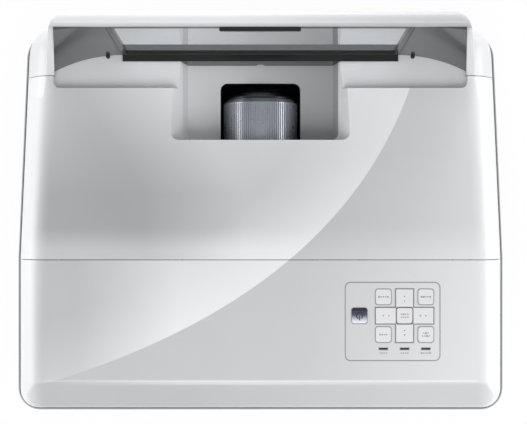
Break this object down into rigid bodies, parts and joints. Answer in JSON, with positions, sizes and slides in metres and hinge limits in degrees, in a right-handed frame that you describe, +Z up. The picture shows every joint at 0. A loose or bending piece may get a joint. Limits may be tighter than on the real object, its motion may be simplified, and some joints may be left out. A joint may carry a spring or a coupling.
{
  "type": "ultra short throw projector",
  "caption": "Low desktop projector whose lens fires backwards into a recess, at a curved mirror behind a leaning window in a raised hood.",
  "frame": {"origin": "on the surface that the feet stand on, below the centre of the case", "axes": "+Z up, -Y towards the side that faces the screen, +Y towards the mirror hood, +X along the case's width"},
  "size_m": [0.39, 0.304, 0.19],
  "materials": {
    "white_plastic": "satin",
    "grey_trim": "satin",
    "dark_grey_plastic": "satin",
    "black_plastic": "satin",
    "glass": "gloss",
    "mirror": "gloss",
    "aluminium": "satin",
    "cast_metal": "matte",
    "circuit_board": "satin",
    "steel": "satin",
    "grey_plastic": "satin",
    "components": "matte",
    "dark_lens": "gloss",
    "brass": "satin",
    "ring_paint": "satin",
    "filter_glass": "gloss",
    "foam": "matte",
    "key_grey": "satin",
    "key_power": "satin",
    "rubber": "matte"
  },
  "bodies": {
    "case": {"bottom_case": "white_plastic", "trim_band": "grey_trim", "front_cover": "white_plastic", "top_cover": "white_plastic", "rear_cover": "white_plastic", "hood_wing_left": "dark_grey_plastic", "hood_wing_right": "dark_grey_plastic", "window_frame": "black_plastic", "window_glass": "glass", "curved_mirror": "mirror", "mirror_bracket": "black_plastic", "lens_shroud": "black_plastic", "lens_barrel": "aluminium", "lens_elements": "glass", "optical_engine": "cast_metal", "dmd_board": "circuit_board", "dmd_heatsink": "aluminium", "integrator_rod": "glass", "wheel_motor": "steel", "lamp_housing": "black_plastic", "lamp_reflector": "glass", "lamp_burner": "glass", "lamp_door": "white_plastic", "main_board": "circuit_board", "io_panel": "grey_plastic", "digital_sockets": "steel", "dsub_sockets": "steel", "av_jacks": "black_plastic", "lan_socket": "steel", "ac_inlet": "black_plastic", "power_board": "circuit_board", "power_components": "components", "fan_frame": "black_plastic", "blower_case": "black_plastic", "speaker": "black_plastic", "keypad_bezel": "grey_plastic", "keypad_board": "circuit_board", "indicator_lenses": "dark_lens", "ir_window": "dark_lens", "brass_inserts": "brass", "screws": "steel", "security_bar": "steel"},
    "focus_ring": {"focus_ring": "ring_paint"},
    "colour_wheel": {"colour_wheel": "filter_glass"},
    "fan_rotor": {"fan_rotor": "black_plastic"},
    "blower_wheel": {"blower_wheel": "black_plastic"},
    "filter_cassette": {"filter_cassette": "white_plastic", "filter_foam": "foam"},
    "key_top_left": {"key_top_left": "key_grey"},
    "key_top_right": {"key_top_right": "key_grey"},
    "key_bottom_left": {"key_bottom_left": "key_grey"},
    "key_bottom_right": {"key_bottom_right": "key_grey"},
    "key_centre": {"key_centre": "key_grey"},
    "key_power": {"key_power": "key_power"},
    "nav_gimbal": {"nav_gimbal": "grey_plastic"},
    "nav_pad": {"nav_pad": "key_grey"},
    "foot_front_left": {"foot_front_left": "rubber"},
    "foot_front_right": {"foot_front_right": "rubber"},
    "foot_rear_left": {"foot_rear_left": "rubber"},
    "foot_rear_right": {"foot_rear_right": "rubber"}
  },
  "joints": [
    {"name": "focus_turn", "type": "hinge", "parent": "case", "child": "focus_ring", "pos_m": [0, 0.034, 0.076], "axis": [0, 1, 0], "range_deg": [-60, 60]},
    {"name": "wheel_spin", "type": "hinge", "parent": "case", "child": "colour_wheel", "pos_m": [-0.0622, -0.015, 0.051], "axis": [1, 0, 0], "continuous": true},
    {"name": "fan_spin", "type": "hinge", "parent": "case", "child": "fan_rotor", "pos_m": [-0.1675, -0.098, 0.0525], "axis": [1, 0, 0], "continuous": true},
    {"name": "blower_spin", "type": "hinge", "parent": "case", "child": "blower_wheel", "pos_m": [-0.125, 0.08, 0.015], "axis": [0, 0, 1], "continuous": true},
    {"name": "filter_pull", "type": "slide", "parent": "case", "child": "filter_cassette", "axis": [1, 0, 0], "range_m": [0, 0.018]},
    {"name": "press_top_left", "type": "slide", "parent": "case", "child": "key_top_left", "axis": [0, 0, -1], "range_m": [0, 0.0005], "stiffness_N_per_m": 1000, "springref_m": -0.0005},
    {"name": "press_top_right", "type": "slide", "parent": "case", "child": "key_top_right", "axis": [0, 0, -1], "range_m": [0, 0.0005], "stiffness_N_per_m": 1000, "springref_m": -0.0005},
    {"name": "press_bottom_left", "type": "slide", "parent": "case", "child": "key_bottom_left", "axis": [0, 0, -1], "range_m": [0, 0.0005], "stiffness_N_per_m": 1000, "springref_m": -0.0005},
    {"name": "press_bottom_right", "type": "slide", "parent": "case", "child": "key_bottom_right", "axis": [0, 0, -1], "range_m": [0, 0.0005], "stiffness_N_per_m": 1000, "springref_m": -0.0005},
    {"name": "press_centre", "type": "slide", "parent": "case", "child": "key_centre", "axis": [0, 0, -1], "range_m": [0, 0.0005], "stiffness_N_per_m": 1000, "springref_m": -0.0005},
    {"name": "press_power", "type": "slide", "parent": "case", "child": "key_power", "axis": [0, 0, -1], "range_m": [0, 0.0005], "stiffness_N_per_m": 1000, "springref_m": -0.0005},
    {"name": "pad_roll", "type": "hinge", "parent": "case", "child": "nav_gimbal", "pos_m": [0.1087, -0.071, 0.1143], "axis": [0, 1, 0], "range_deg": [-1.5, 1.5], "stiffness_Nm_per_rad": 0.4},
    {"name": "pad_pitch", "type": "hinge", "parent": "nav_gimbal", "child": "nav_pad", "pos_m": [0.1087, -0.071, 0.1143], "axis": [1, 0, 0], "range_deg": [-1.5, 1.5], "stiffness_Nm_per_rad": 0.4},
    {"name": "level_front_left", "type": "slide", "parent": "case", "child": "foot_front_left", "axis": [0, 0, -1], "range_m": [0, 0.012]},
    {"name": "level_front_right", "type": "slide", "parent": "case", "child": "foot_front_right", "axis": [0, 0, -1], "range_m": [0, 0.012]},
    {"name": "level_rear_left", "type": "slide", "parent": "case", "child": "foot_rear_left", "axis": [0, 0, -1], "range_m": [0, 0.012]},
    {"name": "level_rear_right", "type": "slide", "parent": "case", "child": "foot_rear_right", "axis": [0, 0, -1], "range_m": [0, 0.012]}
  ]
}
